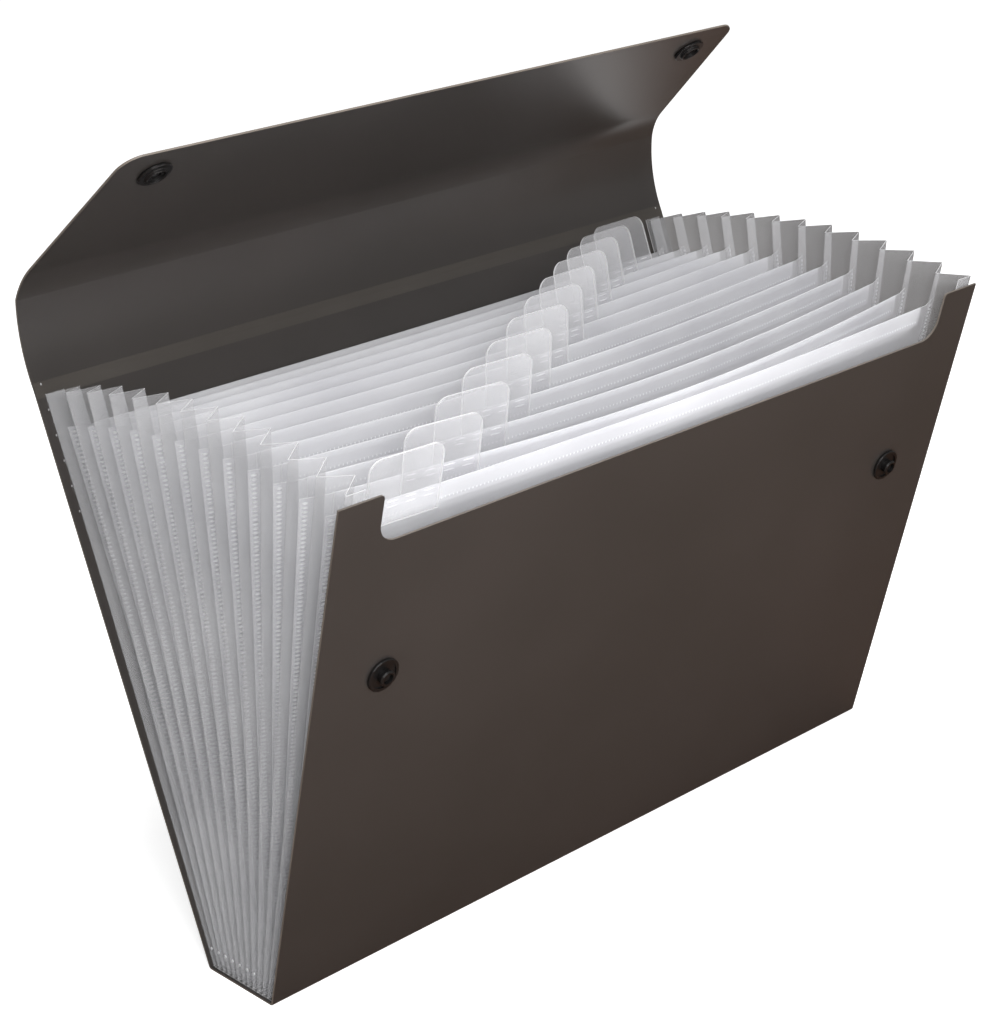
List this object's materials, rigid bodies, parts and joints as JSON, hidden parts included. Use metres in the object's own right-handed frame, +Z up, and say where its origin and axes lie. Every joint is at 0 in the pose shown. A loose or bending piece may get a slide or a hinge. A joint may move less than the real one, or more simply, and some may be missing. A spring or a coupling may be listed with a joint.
{
  "type": "expanding document file",
  "caption": "Upright expanding document file with a folded plastic cover, a flap with two creases, pleated side gussets, translucent dividers with staggered tabs, and press studs.",
  "frame": {"origin": "middle of the spine's flat underside, on the surface that the file stands on", "axes": "+X along the width to the right seen from the front, -Y towards the front panel, +Z up"},
  "size_m": [0.33, 0.1821, 0.3061],
  "materials": {
    "cover_sheet": "satin opaque charcoal polypropylene",
    "bellows_film": "frosted translucent polypropylene film",
    "divider_film": "frosted translucent polypropylene film",
    "tab_sleeve": "clear plastic",
    "stud_plastic": "black moulded plastic"
  },
  "bodies": {
    "root": {"cover": "cover_sheet", "left_gusset": "bellows_film", "right_gusset": "bellows_film", "divider_01": "divider_film", "divider_02": "divider_film", "divider_03": "divider_film", "divider_04": "divider_film", "divider_05": "divider_film", "divider_06": "divider_film", "divider_07": "divider_film", "divider_08": "divider_film", "divider_09": "divider_film", "divider_10": "divider_film", "divider_11": "divider_film", "divider_12": "divider_film", "index_tab_01": "tab_sleeve", "index_tab_02": "tab_sleeve", "index_tab_03": "tab_sleeve", "index_tab_04": "tab_sleeve", "index_tab_05": "tab_sleeve", "index_tab_06": "tab_sleeve", "index_tab_07": "tab_sleeve", "index_tab_08": "tab_sleeve", "index_tab_09": "tab_sleeve", "index_tab_10": "tab_sleeve", "index_tab_11": "tab_sleeve", "index_tab_12": "tab_sleeve", "stud_left": "stud_plastic", "stud_right": "stud_plastic", "stud_cap_left": "stud_plastic", "stud_cap_right": "stud_plastic"},
    "flap_top": {"flap_top": "cover_sheet"},
    "flap_front": {"flap_front": "cover_sheet", "socket_left": "stud_plastic", "socket_right": "stud_plastic", "socket_cap_left": "stud_plastic", "socket_cap_right": "stud_plastic"}
  },
  "joints": [
    {"name": "flap_hinge", "type": "hinge", "parent": "root", "child": "flap_top", "pos_m": [0, 0.09303, 0.21372], "axis": [1, 0, 0], "range_deg": [-150, 25]},
    {"name": "flap_front_hinge", "type": "hinge", "parent": "flap_top", "child": "flap_front", "pos_m": [0, 0.09774, 0.24785], "axis": [1, 0, 0], "range_deg": [-90, 22]}
  ]
}
